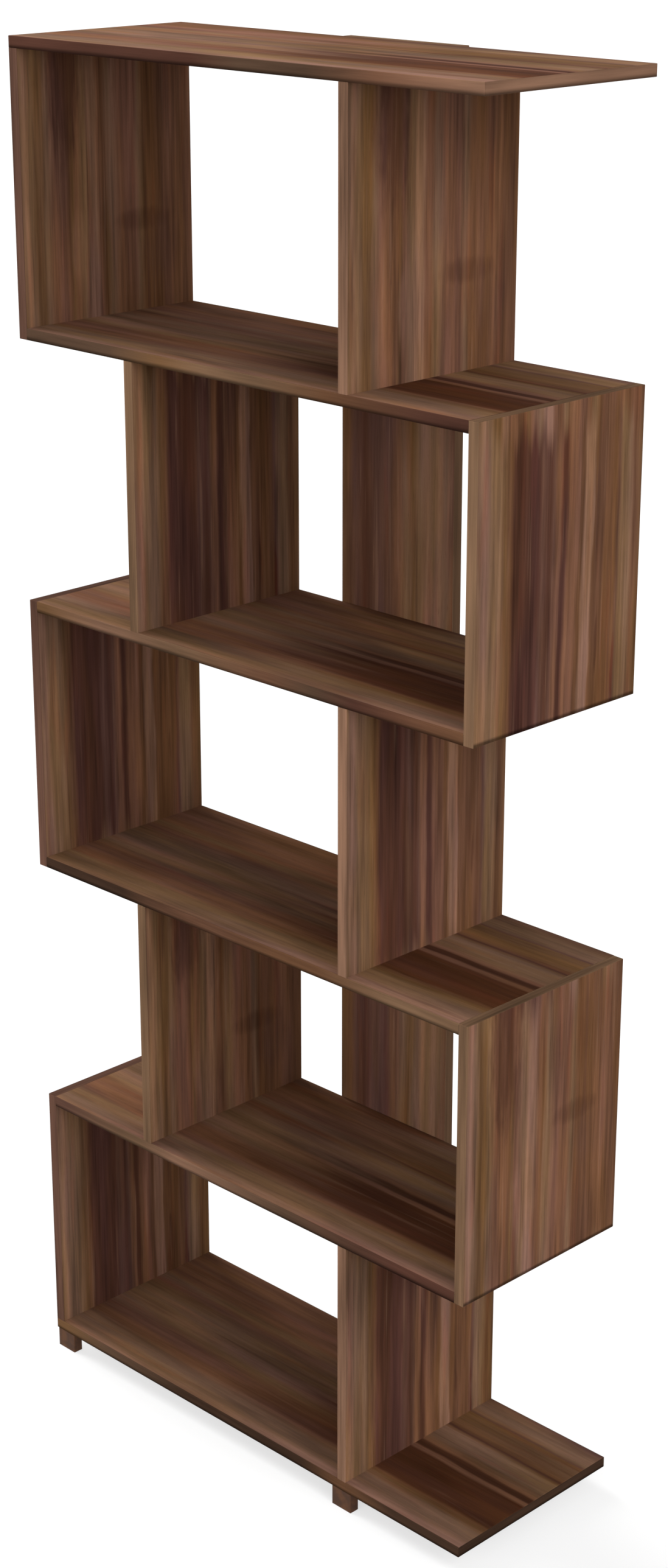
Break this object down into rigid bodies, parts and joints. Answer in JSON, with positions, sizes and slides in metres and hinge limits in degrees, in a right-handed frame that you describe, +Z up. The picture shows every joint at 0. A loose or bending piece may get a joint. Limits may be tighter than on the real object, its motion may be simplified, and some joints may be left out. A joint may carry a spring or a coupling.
{
  "type": "zigzag bookshelf",
  "caption": "Tall open bookcase of laminated boards whose tiers shift left and right in turn, on low feet with an upright strip behind.",
  "frame": {"origin": "on the floor, at the middle of the bookshelf's width and of its depth with the back strip", "axes": "+X towards the right end as seen from the front, +Y towards the back strip and the wall, +Z up"},
  "size_m": [0.8, 0.305, 1.868],
  "materials": {
    "walnut_laminate": "satin walnut-effect laminate with straight grain, matching edge banding",
    "brown_plastic": "moulded brown plastic, matte",
    "zinc_cam": "die-cast zinc, dull",
    "steel_screw": "zinc-plated steel"
  },
  "bodies": {
    "root": {"base_board": "walnut_laminate", "shelf_1": "walnut_laminate", "shelf_2": "walnut_laminate", "shelf_3": "walnut_laminate", "shelf_4": "walnut_laminate", "top_board": "walnut_laminate", "outer_panel_1": "walnut_laminate", "outer_panel_2": "walnut_laminate", "outer_panel_3": "walnut_laminate", "outer_panel_4": "walnut_laminate", "outer_panel_5": "walnut_laminate", "inner_panel_1": "walnut_laminate", "inner_panel_2": "walnut_laminate", "inner_panel_3": "walnut_laminate", "inner_panel_4": "walnut_laminate", "inner_panel_5": "walnut_laminate", "back_strip": "walnut_laminate", "foot_front_left": "brown_plastic", "foot_front_middle": "brown_plastic", "foot_rear_left": "brown_plastic", "foot_rear_middle": "brown_plastic", "cam_outer_1_low": "zinc_cam", "cam_outer_1_high": "zinc_cam", "cam_outer_2_low": "zinc_cam", "cam_outer_2_high": "zinc_cam", "cam_outer_3_low": "zinc_cam", "cam_outer_3_high": "zinc_cam", "cam_outer_4_low": "zinc_cam", "cam_outer_4_high": "zinc_cam", "cam_outer_5_low": "zinc_cam", "cam_outer_5_high": "zinc_cam", "cam_inner_1_low": "zinc_cam", "cam_inner_1_high": "zinc_cam", "cam_inner_2_low": "zinc_cam", "cam_inner_2_high": "zinc_cam", "cam_inner_3_low": "zinc_cam", "cam_inner_3_high": "zinc_cam", "cam_inner_4_low": "zinc_cam", "cam_inner_4_high": "zinc_cam", "cam_inner_5_low": "zinc_cam", "cam_inner_5_high": "zinc_cam", "strip_screw_0_left": "steel_screw", "strip_screw_0_right": "steel_screw", "strip_screw_1_left": "steel_screw", "strip_screw_1_right": "steel_screw", "strip_screw_2_left": "steel_screw", "strip_screw_2_right": "steel_screw", "strip_screw_3_left": "steel_screw", "strip_screw_3_right": "steel_screw", "strip_screw_4_left": "steel_screw", "strip_screw_4_right": "steel_screw", "strip_screw_5_left": "steel_screw", "strip_screw_5_right": "steel_screw", "foot_screw_front_left": "steel_screw", "foot_screw_front_middle": "steel_screw", "foot_screw_rear_left": "steel_screw", "foot_screw_rear_middle": "steel_screw"}
  },
  "joints": []
}
